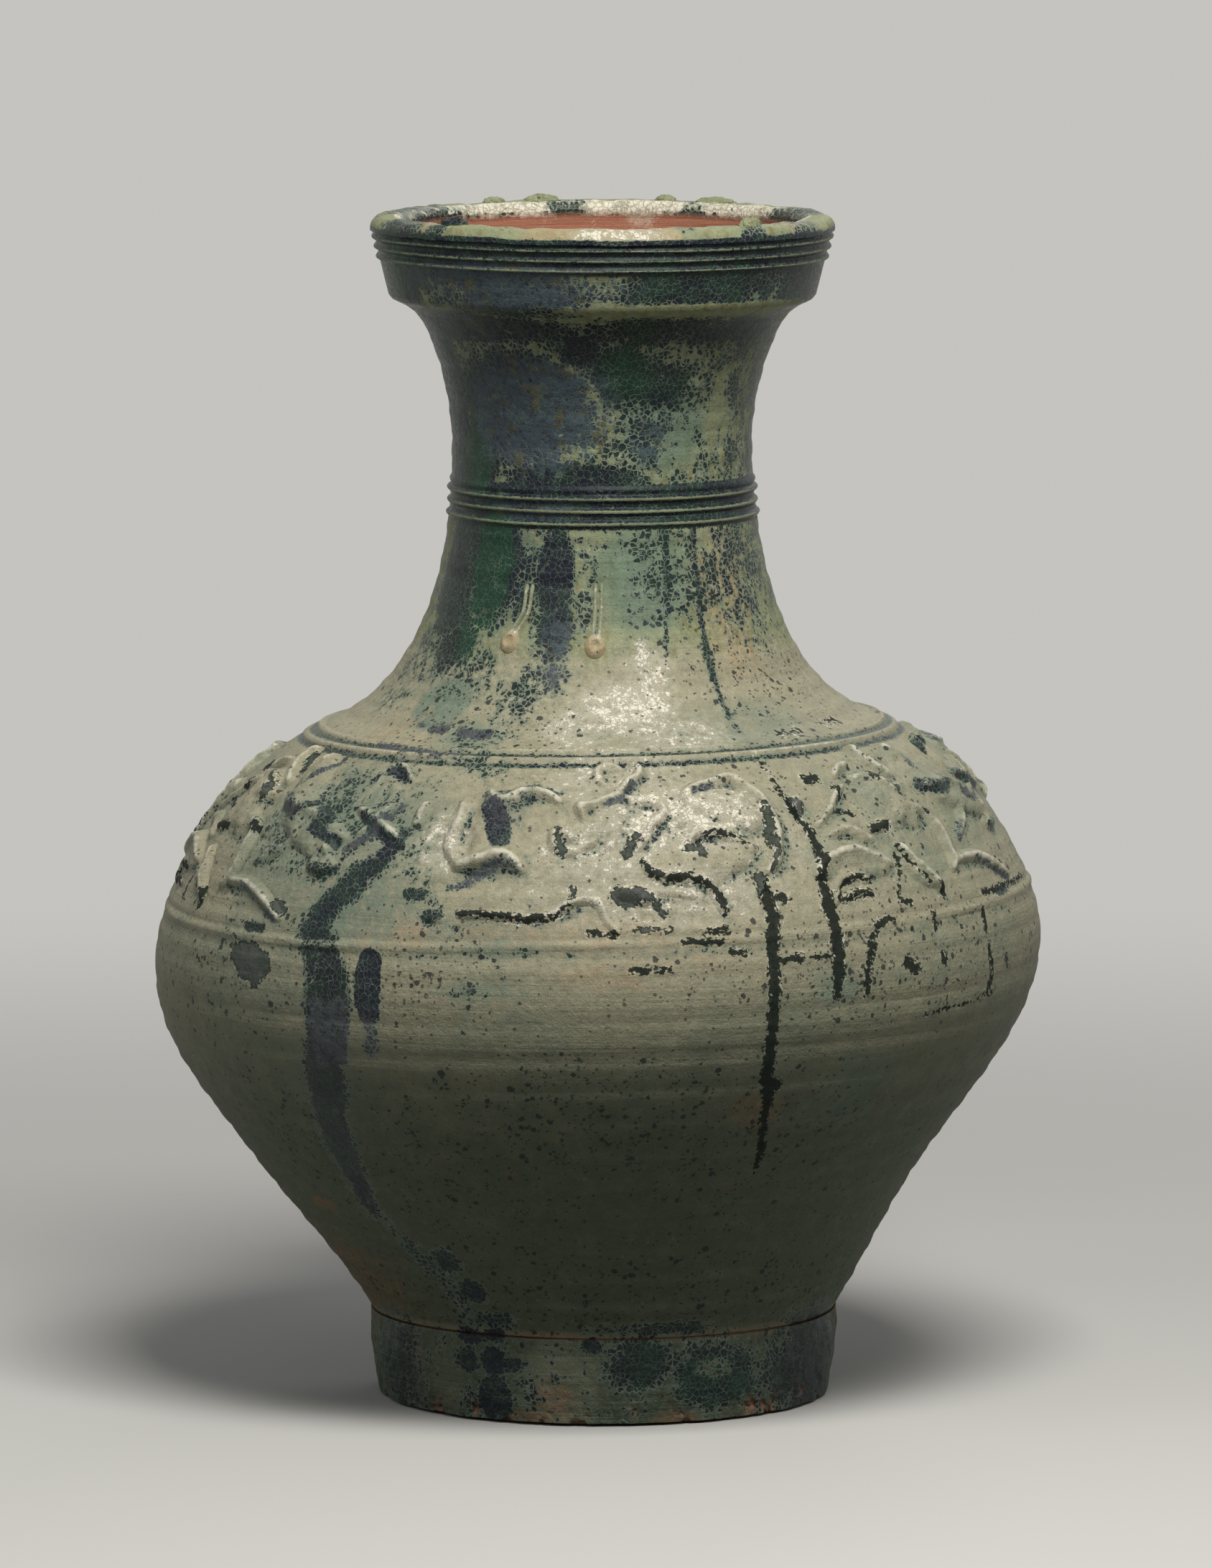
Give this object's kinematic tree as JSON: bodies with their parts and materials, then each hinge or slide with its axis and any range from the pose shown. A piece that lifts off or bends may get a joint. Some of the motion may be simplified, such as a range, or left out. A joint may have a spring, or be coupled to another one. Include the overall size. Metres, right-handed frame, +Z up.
{
  "type": "hu vase",
  "caption": "Green-glazed earthenware storage vase with a dish mouth, waisted neck, broad shoulder with a moulded frieze of animals and hills, rounded belly and tall ring foot.",
  "frame": {"origin": "centre of the standing face under the foot ring", "axes": "+Z up along the vase's axis, the pictured side faces -Y, +X to the viewer's right"},
  "size_m": [0.2852, 0.2852, 0.3836],
  "materials": {
    "body_glaze": "degraded green lead glaze, silvery iridescence over buff, finely crackled, satin",
    "dark_glaze": "deep green lead glaze gone blue-grey and silvery, crackled and streaked, semi-gloss",
    "relief_glaze": "thin degraded green glaze over moulded relief, silvery on the high points",
    "foot_glaze": "worn mottled glaze with burial dirt, matte, chipped and sandy at the standing edge",
    "bead_glaze": "thick glassy green glaze bead",
    "bare_clay": "unglazed red-brown earthenware with fine throwing lines and lime deposit, matte"
  },
  "bodies": {
    "root": {"foot_ring": "foot_glaze", "lower_bowl": "body_glaze", "shoulder_dome": "body_glaze", "neck": "dark_glaze", "mouth_dish": "dark_glaze", "leaping_deer_1": "relief_glaze", "cloud_scroll_1": "relief_glaze", "crouching_bear_1": "relief_glaze", "winged_spirit_1": "relief_glaze", "rearing_tiger_1": "relief_glaze", "hills_1": "relief_glaze", "striding_tiger_1": "relief_glaze", "leaping_deer_2": "relief_glaze", "cloud_scroll_2": "relief_glaze", "crouching_bear_2": "relief_glaze", "winged_spirit_2": "relief_glaze", "rearing_tiger_2": "relief_glaze", "hills_2": "relief_glaze", "striding_tiger_2": "relief_glaze", "leaping_deer_3": "relief_glaze", "cloud_scroll_3": "relief_glaze", "crouching_bear_3": "relief_glaze", "winged_spirit_3": "relief_glaze", "rearing_tiger_3": "relief_glaze", "hills_3": "relief_glaze", "striding_tiger_3": "relief_glaze", "lip_bead_1": "bead_glaze", "lip_bead_2": "bead_glaze", "lip_bead_3": "bead_glaze", "lip_bead_4": "bead_glaze", "lip_bead_5": "bead_glaze", "lip_bead_6": "bead_glaze", "neck_tear_1": "bead_glaze", "neck_tear_2": "bead_glaze"}
  },
  "joints": []
}
